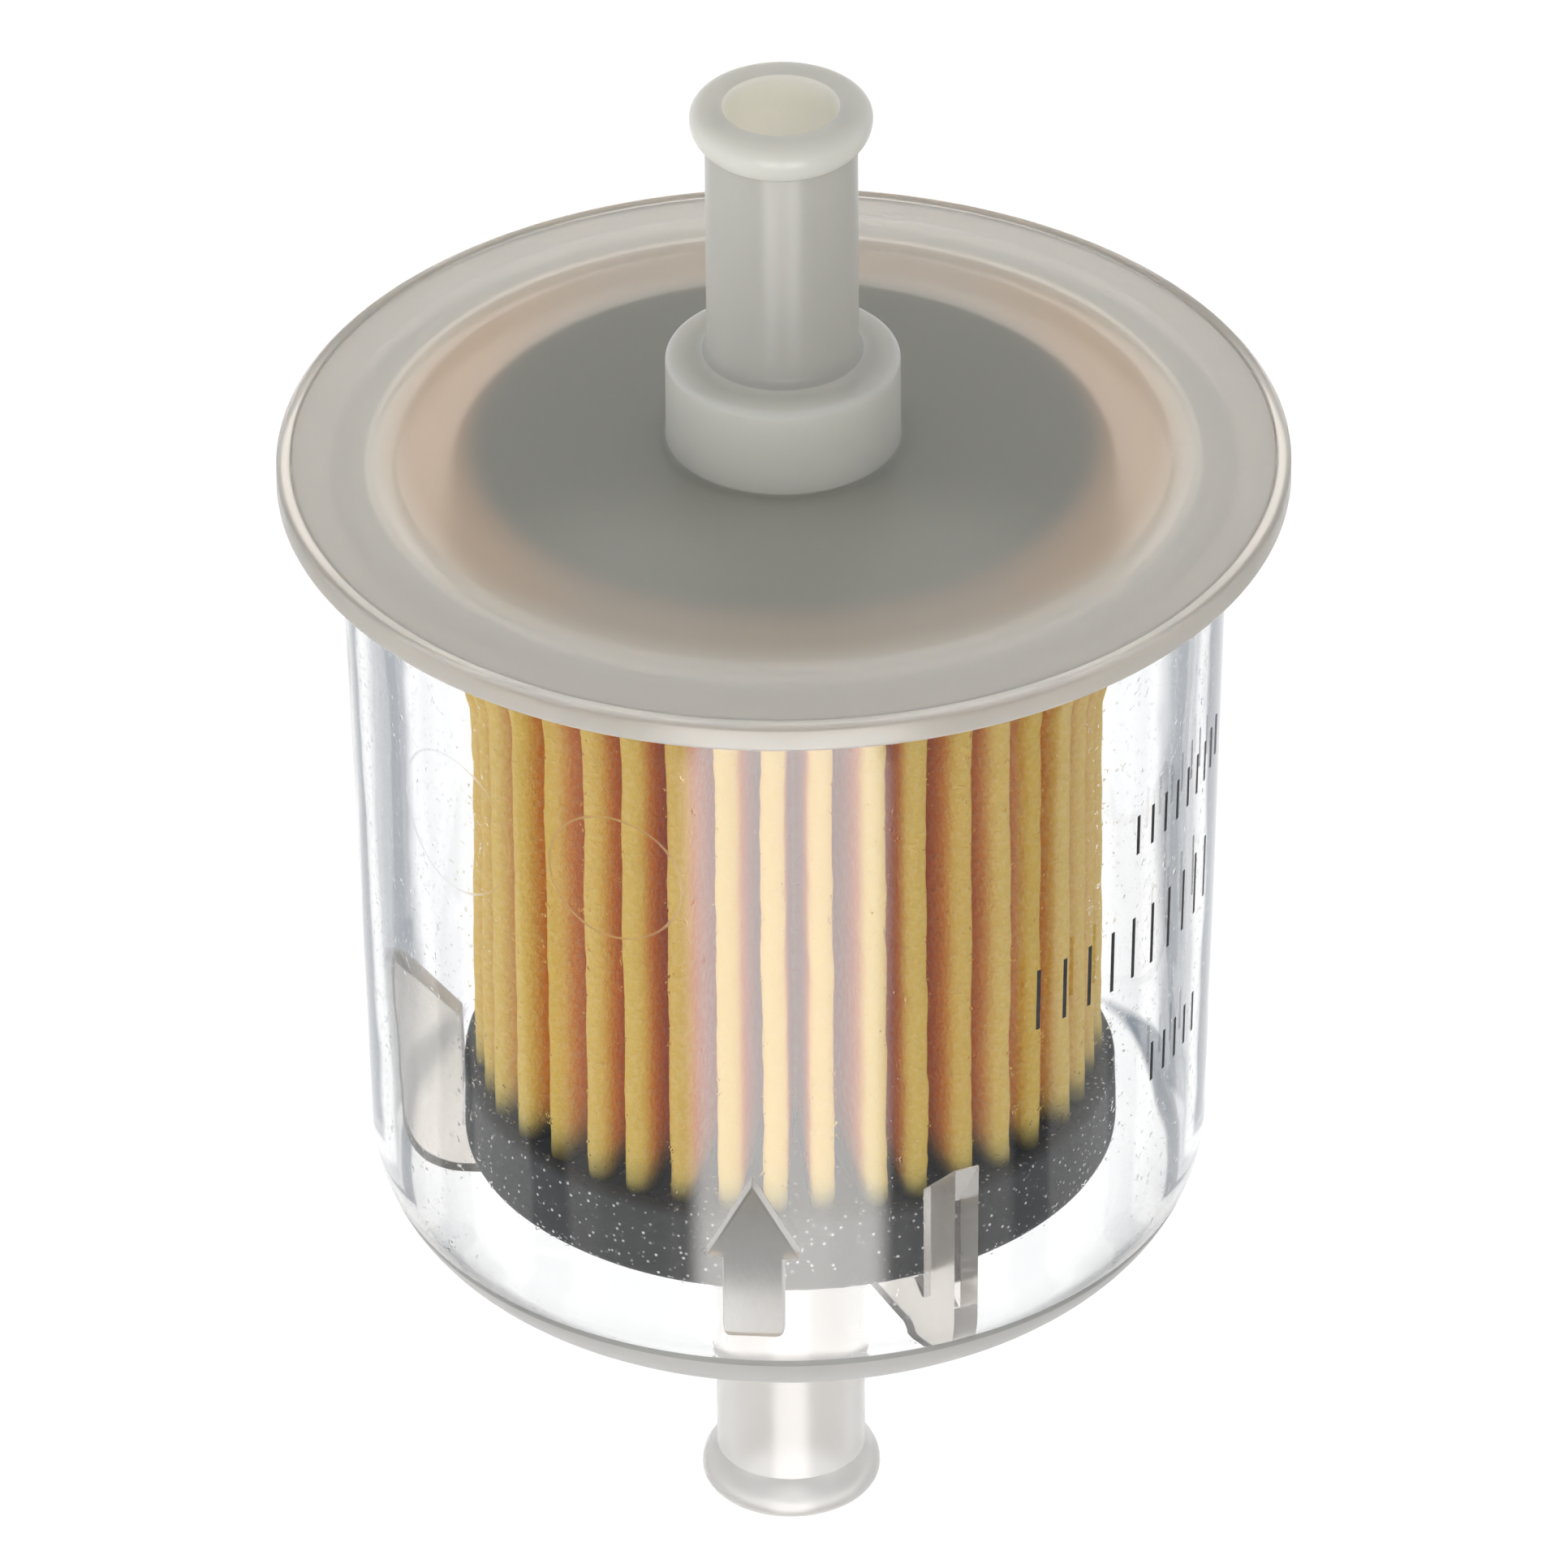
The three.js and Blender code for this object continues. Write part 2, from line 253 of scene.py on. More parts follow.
class Nodes:
    """The node tree of a new material, or of the world, with short calls to add and link nodes."""

    def __init__(self, name, world=None):
        self.owner = world or bpy.data.materials.new(name)
        self.owner.use_nodes = True
        self.tree = self.owner.node_tree
        self.tree.nodes.clear()
        self.output = self.add("ShaderNodeOutputWorld" if world else "ShaderNodeOutputMaterial")
        self.place = self.add("ShaderNodeTexCoord").outputs["Generated" if world else "Object"]

    def add(self, kind, **settings):
        node = self.tree.nodes.new(kind)
        for key, value in settings.items():
            setattr(node, key, value)
        return node

    def feed(self, socket, value):
        if isinstance(value, bpy.types.NodeSocket):
            self.tree.links.new(value, socket)
        elif isinstance(value, (tuple, list)) and len(value) == 3 and len(socket.default_value) == 4:
            socket.default_value = (*value, 1)
        else:
            socket.default_value = value

    def math(self, operation, *values):
        node = self.add("ShaderNodeMath", operation=operation)
        for socket, value in zip(node.inputs, values):
            self.feed(socket, value)
        return node.outputs[0]

    def noise(self, scale, detail=3.0, rough=0.5, place=None):
        node = self.add("ShaderNodeTexNoise")
        self.feed(node.inputs["Vector"], place or self.place)
        node.inputs["Scale"].default_value = scale
        node.inputs["Detail"].default_value = detail
        node.inputs["Roughness"].default_value = rough
        return node.outputs["Fac"]

    def dots(self, scale, radius, core):
        """Round dots, one to a cell, that fade out from the core to the radius. Some are fainter."""
        node = self.add("ShaderNodeTexVoronoi")
        self.feed(node.inputs["Vector"], self.place)
        node.inputs["Scale"].default_value = scale
        strength = self.ramp(node.outputs["Color"], (0.25, 0.1), (0.65, 1.0))
        return self.math("MULTIPLY", self.rise(node.outputs["Distance"], radius, core), strength)

    def ramp(self, value, *stops):
        """Colours or grey levels along 0 to 1, from (position, colour) stops."""
        node = self.add("ShaderNodeValToRGB")
        self.feed(node.inputs["Fac"], value)
        elements = node.color_ramp.elements
        while len(elements) < len(stops):
            elements.new(0.5)
        for element, (position, colour) in zip(elements, stops):
            element.position = position
            element.color = (*colour, 1) if isinstance(colour, tuple) else (colour, colour, colour, 1)
        return node.outputs["Color"]

    def levels(self, value, full, *stops):
        """Grey levels along 0 to full, from (position, level) stops. Levels may go over 1."""
        top = max(level for _, level in stops)
        shares = [(at / full, level / top) for at, level in stops]
        shade = self.ramp(self.math("DIVIDE", value, full), *shares)
        return self.mix(1.0, shade, (top,) * 3, "MULTIPLY")

    def mix(self, share, a, b, blend="MIX"):
        """Mixes two colours. The node's colour sockets are inputs 6 and 7 and output 2."""
        node = self.add("ShaderNodeMix", data_type="RGBA", blend_type=blend)
        self.feed(node.inputs[0], share)
        self.feed(node.inputs[6], a)
        self.feed(node.inputs[7], b)
        return node.outputs[2]

    def bump(self, height, strength, distance, normal=None):
        node = self.add("ShaderNodeBump")
        self.feed(node.inputs["Height"], height)
        node.inputs["Strength"].default_value = strength
        node.inputs["Distance"].default_value = distance
        if normal:
            self.feed(node.inputs["Normal"], normal)
        return node.outputs["Normal"]

    def principled(self, **values):
        node = self.add("ShaderNodeBsdfPrincipled")
        for key, value in values.items():
            self.feed(node.inputs[key.replace("_", " ")], value)
        return node

    def emission(self, colour, strength=1.0):
        node = self.add("ShaderNodeEmission")
        self.feed(node.inputs["Color"], colour)
        self.feed(node.inputs["Strength"], strength)
        return node.outputs[0]

    def xyz(self):
        """The three coordinates of the place being shaded."""
        split = self.add("ShaderNodeSeparateXYZ")
        self.feed(split.inputs[0], self.place)
        return split.outputs

    def rise(self, value, low, high):
        """0 below low, 1 above high, and a smooth rise between. It falls where low is the larger."""
        node = self.add("ShaderNodeMapRange", interpolation_type="SMOOTHSTEP")
        self.feed(node.inputs["Value"], value)
        ends = (low, high, 0.0, 1.0) if low < high else (high, low, 1.0, 0.0)
        for key, end in zip(("From Min", "From Max", "To Min", "To Max"), ends):
            node.inputs[key].default_value = end
        return node.outputs[0]

    def distance(self, point):
        """Distance of the place being shaded from a point, in millimetres."""
        node = self.add("ShaderNodeVectorMath", operation="DISTANCE")
        self.feed(node.inputs[0], self.place)
        node.inputs[1].default_value = Vector(point) * MM
        return self.math("DIVIDE", node.outputs["Value"], MM)

    def finish(self, shader):
        self.tree.links.new(shader, self.output.inputs["Surface"])
        return self.owner

    def let_light_through(self, shader, share=1.0):
        """A share of lamps' light and diffuse light passes straight through, and lights what is inside."""
        path = self.add("ShaderNodeLightPath")
        passing = self.math("MAXIMUM", path.outputs["Is Shadow Ray"], path.outputs["Is Diffuse Ray"])
        passing = self.math("MULTIPLY", passing, share)
        clear = self.add("ShaderNodeBsdfTransparent")
        mixer = self.add("ShaderNodeMixShader")
        self.feed(mixer.inputs[0], passing)
        self.tree.links.new(shader, mixer.inputs[1])
        self.tree.links.new(clear.outputs[0], mixer.inputs[2])
        return mixer.outputs[0]


def on_wall(degrees, z):
    """The point of the bowl's outside wall at an angle from the front towards +X, in millimetres."""
    a = math.radians(degrees)
    return wall_r(z) * math.sin(a), -wall_r(z) * math.cos(a), z


def clear_nylon():
    n = Nodes("clear_nylon")
    waves = n.bump(n.noise(90, 2), 0.12, 0.0002)
    scuffs = n.ramp(n.noise(2600, 2, 0.7), (0.66, 0.0), (0.74, 1.0))
    normal = n.bump(scuffs, 0.15, 0.00002, waves)
    roughness = 0.02
    radius, _ = axis_distance(n)
    for degrees, z, ring_r, haze in MOULD_RINGS:
        off_ring = n.math("ABSOLUTE", n.math("SUBTRACT", n.distance(on_wall(degrees, z)), ring_r))
        outside = n.rise(radius, wall_r(z) - 0.7, wall_r(z) - 0.5)
        ring = n.math("MULTIPLY", n.rise(off_ring, 0.1, 0.03), outside)
        roughness = n.math("ADD", roughness, n.math("MULTIPLY", ring, haze))
    shader = n.principled(
        Base_Color=(0.985, 0.987, 0.988),
        Roughness=roughness,
        IOR=1.5,
        Transmission_Weight=1.0,
        Normal=normal,
    )
    return n.finish(n.let_light_through(shader.outputs[0]))


def frosted_nylon():
    n = Nodes("frosted_nylon")
    grain = n.noise(5200, 2)
    shader = n.principled(
        Base_Color=n.mix(n.noise(1800, 3), (0.74, 0.71, 0.67), (0.86, 0.83, 0.78)),
        Roughness=0.5,
        IOR=1.5,
        Transmission_Weight=0.9,
        Normal=n.bump(grain, 0.3, 0.00005),
    )
    return n.finish(n.let_light_through(shader.outputs[0]))


def hazy_nylon(name, thin, thick, roughness, clarity=0.82):
    """The bowl's ribs, barb and lower corner, where the clear nylon is a little cloudy."""
    n = Nodes(name)
    shader = n.principled(
        Base_Color=n.mix(n.noise(200, 3), thick, thin),
        Roughness=roughness,
        IOR=1.5,
        Transmission_Weight=clarity,
        Subsurface_Weight=1.0,
        Subsurface_Radius=(1.0, 0.95, 0.9),
        Subsurface_Scale=0.002,
    )
    return n.finish(n.let_light_through(shader.outputs[0]))


def milky_nylon(name, clarity, pale, glowing, rim, light_let_in=0.0, gloss=0.5):
    """Natural nylon. The glow of light that comes up round the element is part of its colour.

    Outwards from the axis it has the pale colour, then a painted glow round the element's edge, and then
    the rim's colour. The glow is beige in the middle of the front and the back, and the middle of the front
    is painted paler, as painted light. All of this is fixed to the cap.
    """
    n = Nodes(name)
    radius, _ = axis_distance(n)
    # Painted glow of light from below round the element's edge: beige at the front and the back, pink at
    # the sides.
    lit_from_below = n.rise(radius, END_CAP_R - 1.4, END_CAP_R - 0.1)
    x, y, _ = n.xyz()
    sideways = n.rise(n.math("ABSOLUTE", x), 7 * MM, 14.5 * MM)
    glow = n.mix(sideways, BEIGE_GLOW, glowing)
    lit_colour = n.mix(n.rise(radius, END_CAP_R + 1.5, END_CAP_R + 4.2), glow, rim)
    flow = n.noise(150, 3)
    # Painted light: the middle of the front is paler, with faint random flow marks mixed in.
    painted_front_light = n.math("MULTIPLY", n.rise(y, -2 * MM, -9 * MM), n.math("SUBTRACT", 1.0, sideways))
    front_light_and_flow = n.math("MAXIMUM", painted_front_light, n.math("MULTIPLY", flow, 0.1))
    pale = n.mix(front_light_and_flow, pale, [c * 1.25 for c in pale])
    swirls = n.bump(n.noise(700, 3), 0.12, 0.0001)
    scratches = n.ramp(n.noise(1900, 3, 0.8), (0.64, 0.0), (0.70, 1.0))
    shader = n.principled(
        Base_Color=n.mix(lit_from_below, pale, lit_colour),
        Roughness=0.3,
        IOR=1.5,
        Specular_IOR_Level=gloss,
        Transmission_Weight=clarity,
        Subsurface_Weight=1.0,
        Subsurface_Radius=(1.0, 0.9, 0.75),
        Subsurface_Scale=0.003,
        Normal=n.bump(scratches, 0.1, 0.00003, swirls),
    )
    return n.finish(n.let_light_through(shader.outputs[0], light_let_in))


def axis_distance(n):
    """Distance from the filter's axis, in millimetres, and the height, in millimetres."""
    x, y, z = n.xyz()
    square = n.math("ADD", n.math("POWER", x, 2.0), n.math("POWER", y, 2.0))
    return n.math("DIVIDE", n.math("SQRT", square), MM), n.math("DIVIDE", z, MM)


def filter_paper():
    n = Nodes("filter_paper")
    radius, height = axis_distance(n)
    depth = n.rise(radius, 8.5, PLEAT_TIP_R)
    # Deeper orange down in the folds and paler on the pleats' tips: painted shade in the valleys and
    # painted light on the tips.
    colour = n.ramp(depth, (0.0, (1.0, 0.35, 0.02)), (0.89, (0.95, 0.51, 0.06)), (1.0, (0.84, 0.70, 0.19)))
    fibres = n.noise(3500, 4, 0.6)
    colour = n.mix(n.math("MULTIPLY", n.rise(fibres, 0.44, 0.60), 0.4), colour, (0.93, 0.81, 0.38))
    # Dark at the paper's foot and higher in the valleys: a stain of wicked plastisol, and painted shade
    # where the paper meets the end cap.
    wander = n.math("MULTIPLY", n.noise(600, 2), 1.2)
    wander = n.math("SUBTRACT", wander, n.math("MULTIPLY", depth, 0.9))
    above_stain_and_shade = n.rise(n.math("SUBTRACT", height, wander), LOWER_CAP_TOP, LOWER_CAP_TOP + 2.1)
    stain_and_shade = n.mix(above_stain_and_shade, (0.035, 0.03, 0.015), (0.45, 0.38, 0.08))
    colour = n.mix(above_stain_and_shade, stain_and_shade, colour)
    paper = n.principled(
        Base_Color=colour,
        Roughness=0.85,
        Specular_IOR_Level=0.2,
        Normal=n.bump(fibres, 1.0, 0.0002),
    )
    glow = n.add("ShaderNodeBsdfTranslucent")
    n.feed(glow.inputs["Color"], colour)
    mixer = n.add("ShaderNodeMixShader")
    mixer.inputs[0].default_value = 0.58
    n.tree.links.new(paper.outputs[0], mixer.inputs[1])
    n.tree.links.new(glow.outputs[0], mixer.inputs[2])
    return n.finish(mixer.outputs[0])


def plastisol():
    n = Nodes("plastisol")
    cloud = n.noise(900, 4)
    # Pale specks: dust, painted bright as glints.
    dust_and_glints = n.dots(2900, 0.27, 0.11)
    colour = n.mix(cloud, (0.020, 0.020, 0.020), (0.045, 0.045, 0.045))
    colour = n.mix(n.math("MULTIPLY", dust_and_glints, 0.7), colour, (0.7, 0.7, 0.7))
    shader = n.principled(
        Base_Color=colour,
        Roughness=0.55,
        Specular_IOR_Level=0.22,
        Normal=n.bump(n.noise(1500, 3), 0.25, 0.0001),
    )
    return n.finish(shader.outputs[0])


def seam_glue():
    n = Nodes("seam_glue")
    cloud = n.noise(600, 2)
    shader = n.principled(
        Base_Color=n.mix(cloud, (0.62, 0.5, 0.28), (0.75, 0.65, 0.42)),
        Roughness=0.4,
        Normal=n.bump(cloud, 0.3, 0.0002),
    )
    return n.finish(shader.outputs[0])


def marking_ink():
    n = Nodes("marking_ink")
    worn = n.noise(2500, 3)
    shader = n.principled(
        Base_Color=n.mix(worn, (0.01, 0.01, 0.012), (0.05, 0.05, 0.055)),
        Roughness=0.45,
        Normal=n.bump(worn, 0.3, 0.00003),
    )
    return n.finish(shader.outputs[0])


CLEAR = clear_nylon()
FROSTED = frosted_nylon()
RIB_NYLON = hazy_nylon("rib_nylon", (0.84, 0.80, 0.74), (0.77, 0.72, 0.66), 0.2, 0.9)
BARB_NYLON = hazy_nylon("barb_nylon", (0.72, 0.705, 0.685), (0.66, 0.64, 0.62), 0.3)
# Cloudy nylon for the bowl's lower corner, whose darker greys are painted shade.
CORNER_HAZE_AND_SHADE = hazy_nylon("corner_haze_and_shade", (0.45, 0.445, 0.43), (0.35, 0.345, 0.335), 0.4, 0.5)
CORNER_EDGE_HAZE_AND_SHADE = hazy_nylon("corner_edge_haze_and_shade", (0.27, 0.27, 0.26), (0.20, 0.20, 0.19), 0.4, 0.5)
# The pink and beige glows are painted light: light from below coming up round the element through the cap.
PINK_GLOW, IVORY, DISC_SHADE_GREEN = (0.77, 0.63, 0.52), (1.0, 0.93, 0.84), (0.51, 0.51, 0.455)
BEIGE_GLOW, HUB_SHADE_GREY, STEM_SHADE_GREY = (0.70, 0.64, 0.575), (0.69, 0.69, 0.65), (0.53, 0.53, 0.505)
# The disc's, hub's and stem's greys are painted shade: darker copies of the one ivory nylon, the disc's
# middle standing for the shadow of the element's end cap under it.
FLANGE_NYLON = milky_nylon("flange_nylon", 0.85, IVORY, IVORY, IVORY)
DISC_NYLON = milky_nylon("disc_nylon", 0.55, DISC_SHADE_GREEN, PINK_GLOW, IVORY)
HUB_NYLON = milky_nylon("hub_nylon", 0.35, HUB_SHADE_GREY, PINK_GLOW, IVORY, light_let_in=0.07, gloss=0.25)
STEM_NYLON = milky_nylon("stem_nylon", 0.35, STEM_SHADE_GREY, PINK_GLOW, IVORY, light_let_in=0.07, gloss=0.25)
BORE_NYLON = milky_nylon("bore_nylon", 0.2, (1.0, 0.90, 0.79), PINK_GLOW, IVORY, light_let_in=0.5)
PAPER = filter_paper()
PLASTISOL = plastisol()
GLUE = seam_glue()
INK = marking_ink()


# ---------------------------------------------------------------- the bowl


def radial_plate(name, outline, thickness, degrees):
    """A plate with an (r, z) outline in a plane through the axis, at an angle from the front towards +X."""
    bm = bmesh.new()
    a = math.radians(degrees) - math.pi / 2
    out = Vector((math.cos(a), math.sin(a), 0))
    side = Vector((-math.sin(a), math.cos(a), 0)) * thickness / 2
    sheets = []
    for sign in (-1, 1):
        sheets.append([bm.verts.new((out * r + side * sign + Vector((0, 0, z))) * MM) for r, z in outline])
    count = len(outline)
    for i in range(count):
        j = (i + 1) % count
        bm.faces.new((sheets[0][i], sheets[0][j], sheets[1][j], sheets[1][i]))
    bm.faces.new(sheets[0])
    bm.faces.new(list(reversed(sheets[1])))
    return new_object(name, bm)


def bowl_rib(index):
    """A rib that centres the element with its upper edge and carries it on the shelf at its foot."""
    buried_r = WALL_FOOT_R - RIB_BURIED
    outline = rounded(
        [
            (RIB_SHELF_INNER_R, FLOOR_Z + RIB_BURIED, 0),
            (buried_r, FLOOR_Z + RIB_BURIED, CORNER_R - RIB_BURIED),
            (buried_r, RIB_TOP, 0),
            (WALL_FOOT_R - FOOT_WALL, RIB_TOP, 0.15),
            (RIB_UPPER_R, RIB_SHOULDER, 0.2),
            (RIB_UPPER_R, RIB_NOTCH, 0.1),
            (RIB_SHELF_R, RIB_SHELF, 0.15),
            (RIB_SHELF_INNER_R, RIB_SHELF, 0.2),
        ]
    )
    return radial_plate(f"rib_{index}", outline, RIB_THICK, RIB_FIRST_DEG + 360 // RIBS * index)


def flow_arrow():
    """The arrow's outline in x and z, wrapped round the wall and standing out of it with sloping sides."""
    barb_z = ARROW_TIP - ARROW_HEAD
    stretch_from = 23.5  # the sides spread upwards from here as well
    outline = rounded(
        [
            (-ARROW_HALF, ARROW_FOOT, 0.25),
            (ARROW_HALF, ARROW_FOOT, 0.25),
            (ARROW_HALF, barb_z, 0),
            (ARROW_HEAD_HALF, barb_z, 0.05),
            (0, ARROW_TIP, 0.05),
            (-ARROW_HEAD_HALF, barb_z, 0.05),
            (-ARROW_HALF, barb_z, 0),
        ],
        3,
    )
    bm = bmesh.new()
    sheets = []
    for depth, spread in ((-WALL / 2, 1.06), (0.0, 1.06), (0.38, 1.0), (0.45, 0.96)):
        sheet = []
        for x, z in outline:
            z += max(0, z - stretch_from) * 1.2 * (spread - 1)
            a = math.radians(ARROW_DEG) + x * spread / WALL_FOOT_R
            r = wall_r(max(z, CORNER_TOP)) + depth
            sheet.append(bm.verts.new((r * math.sin(a) * MM, -r * math.cos(a) * MM, z * MM)))
        sheets.append(sheet)
    count = len(outline)
    for lower, upper in zip(sheets, sheets[1:]):
        for i in range(count):
            j = (i + 1) % count
            bm.faces.new((lower[i], lower[j], upper[j], upper[i]))
    bm.faces.new(sheets[0])
    bm.faces.new(list(reversed(sheets[-1])))
    return new_object("arrow", bm, 50)


def make_bowl():
    inner_top_r = WALL_TOP_R - WALL
    rim_r = DISC_R + RIM_GAP
    steps = 12
    wall_span = UNDER_FLANGE - 0.3 - CORNER_TOP
    wall_heights = [CORNER_TOP + wall_span * i / steps for i in range(1, steps + 1)]
    outline = list(reversed(barb()))
    outline += arc(STEM_R + 0.6, FLOOR_Z - 0.6, 0.6, 180, 90, 5)
    outline += arc(WALL_FOOT_R - CORNER_R, CORNER_TOP, CORNER_R, -90, 0, 18)
    outline += [(wall_r(z), z) for z in wall_heights]
    outline += arc(WALL_TOP_R + 0.3, UNDER_FLANGE - 0.3, 0.3, 180, 90, 4)[1:]
    outline += arc(FLANGE_R - 0.25, UNDER_FLANGE + 0.25, 0.25, -90, 0, 5)
    outline += arc(FLANGE_R - 0.25, FLANGE_TOP - 0.25, 0.25, 0, 90, 5)
    outline += arc(rim_r + 0.12, FLANGE_TOP - 0.12, 0.12, 90, 180, 3)
    outline += [(rim_r, SEAT_Z), (inner_top_r + 0.1, SEAT_Z), (inner_top_r, SEAT_Z - 0.1)]
    outline += [(inner_wall_r(z), z) for z in reversed(wall_heights[:-1])]
    inner_corner = (WALL_FOOT_R - FOOT_WALL - INNER_CORNER_R, FLOOR_Z + WALL + INNER_CORNER_R)
    outline += arc(*inner_corner, INNER_CORNER_R, 0, -90, 14)
    outline += [(BORE_R + 0.2, FLOOR_Z + WALL), (BORE_R, FLOOR_Z + WALL - 0.2)]

    def uneven(r, z, a):
        """The inside of the wall waves a little, as the plastic flowed and shrank."""
        if r > inner_wall_r(z) + 0.01 or z < FLOOR_Z + WALL + INNER_CORNER_R - 0.01:
            return r, z
        place = Vector((math.cos(a) * 3.2, math.sin(a) * 3.2, z * 0.09))
        return r + 0.028 * noise.noise(place) * min(1, (SEAT_Z - z) / 4), z

    bowl = turned("bowl", outline, shift=uneven)
    materials = (CLEAR, FROSTED, RIB_NYLON, BARB_NYLON, FLANGE_NYLON, CORNER_HAZE_AND_SHADE, CORNER_EDGE_HAZE_AND_SHADE)
    for material in materials:
        bowl.data.materials.append(material)
    for face in bowl.data.polygons:
        radius, z = face.center.xy.length / MM, face.center.z / MM
        if z > UNDER_FLANGE - 0.1 and radius > WALL_TOP_R:
            face.material_index = materials.index(FLANGE_NYLON)
        elif z < FLOOR_Z - 0.05 or (z < CORNER_TOP - 0.1 and radius < STEM_R + 0.2):
            face.material_index = materials.index(BARB_NYLON)
        elif radius > WALL_FOOT_R - CORNER_R and z < FLOOR_Z + 3.4:
            # The outside of the corner is cloudy and painted a darker grey in a crescent, widest in front
            # and gone at the sides: the grey is painted shade
            outside = math.hypot(radius - WALL_FOOT_R + CORNER_R, z - CORNER_TOP) > CORNER_R - 0.3
            sideways = 1 + face.center.y / MM / radius
            if outside and z > FLOOR_Z + 0.5 + 4.4 * sideways**1.9:
                haze = CORNER_HAZE_AND_SHADE if z < FLOOR_Z + 2.9 else CORNER_EDGE_HAZE_AND_SHADE
                face.material_index = materials.index(haze)
    extras = [bowl_rib(i) for i in range(RIBS)]
    for rib in extras:
        rib.data.materials.append(RIB_NYLON)
    arrow = flow_arrow()
    arrow.data.materials.append(FROSTED)
    union(bowl, [*extras, arrow])
    bowl.data.polygons.foreach_set("use_smooth", [True] * len(bowl.data.polygons))
    bowl.data.set_sharp_from_angle(angle=math.radians(32))
    return bowl


def make_marks():
    """Rows of plain upright bars, printed on the wall where such a filter carries its markings."""
    bm = bmesh.new()
    skin = 0.02
    for z, height, first, last, step in MARK_ROWS:
        degrees = first
        while degrees <= last:
            corners = [(-0.5, 0), (0.5, 0), (0.5, 1), (-0.5, 1)]
            sheets = []
            for lift in (0.01, 0.01 + skin):
                sheet = []
                for across, up in corners:
                    x, y, level = on_wall(degrees + across * MARK_WIDTH_DEG, z + height * up)
                    stretch = 1 + lift / math.hypot(x, y)
                    sheet.append(bm.verts.new(Vector((x * stretch, y * stretch, level)) * MM))
                sheets.append(sheet)
            bm.faces.new(sheets[0])
            bm.faces.new(list(reversed(sheets[1])))
            for i in range(4):
                j = (i + 1) % 4
                bm.faces.new((sheets[0][i], sheets[0][j], sheets[1][j], sheets[1][i]))
            degrees += step
    marks = new_object("printed_marks", bm)
    marks.data.materials.append(INK)
    return marks


# ---------------------------------------------------------------- the cap


def make_cap():
    spigot_end = CAP_UNDER - SPIGOT_DEPTH
    skirt_end = CAP_UNDER - SKIRT_DEPTH
    outline = [(BORE_R + 0.2, spigot_end), (SPIGOT_R - 0.1, spigot_end)]
    outline += [(SPIGOT_R, spigot_end + 0.1), (SPIGOT_R, CAP_UNDER)]
    outline += [(SKIRT_IN_R, CAP_UNDER), (SKIRT_IN_R, skirt_end)]
    outline += [(SKIRT_OUT_R, skirt_end), (SKIRT_OUT_R, CAP_UNDER), (DISC_R, CAP_UNDER)]
    outline += arc(DISC_R - 0.12, FLANGE_TOP - 0.12, 0.12, 0, 90, 3)
    # The small step near the rim, then the crown that rises to the hub
    outline += [(STEP_R + 0.5, FLANGE_TOP + 0.02), (STEP_R + 0.1, FLANGE_TOP + 0.2)]
    outline += [(STEP_R - 0.3, FLANGE_TOP + 0.3), (13, FLANGE_TOP + 0.62), (9, FLANGE_TOP + 0.8)]
    outline += arc(HUB_R + 0.25, FLANGE_TOP + 0.88 + 0.25, 0.25, -90, -180, 4)
    outline += arc(HUB_R - 0.35, HUB_TOP - 0.35, 0.35, 0, 90, 5)
    outline += arc(STEM_R + 0.7, HUB_TOP + 0.7, 0.7, -90, -180, 6)
    outline += [(r, LENGTH - z) for r, z in barb()]
    outline += [(BORE_R, spigot_end + 0.2)]
    cap = turned("cap", outline)
    materials = (DISC_NYLON, HUB_NYLON, BORE_NYLON, STEM_NYLON)
    for material in materials:
        cap.data.materials.append(material)
    for face in cap.data.polygons:
        radius, z = face.center.xy.length / MM, face.center.z / MM
        if radius < BORE_R + 0.1:
            face.material_index = materials.index(BORE_NYLON)
        elif HUB_TOP + 0.1 < z < LENGTH - BEAD_TIP_ARC - 1 and radius < STEM_R + 0.2:
            face.material_index = materials.index(STEM_NYLON)
        elif z > FLANGE_TOP + 1 and radius < HUB_R + 0.2:
            face.material_index = materials.index(HUB_NYLON)
    return cap


# ---------------------------------------------------------------- the element


def pleat_line(wander):
    """The paper's middle line round one level, as (x, y) points.

    wander(index) gives how far a pleat's tip is turned from its even place, and how far it reaches out.
    """
    pitch = 2 * math.pi / PLEATS
    tip_r = PLEAT_TIP_R - PAPER_THICK / 2 - FOLD_R
    root_r = PLEAT_ROOT_R + PAPER_THICK / 2 + FOLD_R
    flank_steps = 5
    points = []
    for k in range(PLEATS):
        turn, reach = wander(k)
        tip = PHASE + k * pitch + turn
        centre = Vector((math.cos(tip), math.sin(tip))) * (tip_r + reach)
        for i in range(7):
            a = tip - math.pi / 2 + math.pi * i / 6
            points.append(centre + Vector((math.cos(a), math.sin(a))) * FOLD_R)
        next_turn = wander((k + 1) % PLEATS)[0]
        root = PHASE + (k + 0.5) * pitch + (turn + next_turn) / 2 * root_r / tip_r
        start = points[-1]
        centre = Vector((math.cos(root), math.sin(root))) * root_r
        fold = []
        for i in range(5):
            a = root - math.pi / 2 - math.pi * i / 4
            fold.append(centre + Vector((math.cos(a), math.sin(a))) * FOLD_R)
        points += [start.lerp(fold[0], (i + 1) / flank_steps) for i in range(flank_steps - 1)]
        points += fold
        tip = PHASE + (k + 1) * pitch + next_turn
        centre = Vector((math.cos(tip), math.sin(tip))) * (tip_r + wander((k + 1) % PLEATS)[1])
        a = tip - math.pi / 2
        end = centre + Vector((math.cos(a), math.sin(a))) * FOLD_R
        points += [fold[-1].lerp(end, (i + 1) / flank_steps) for i in range(flank_steps - 1)]
    return points


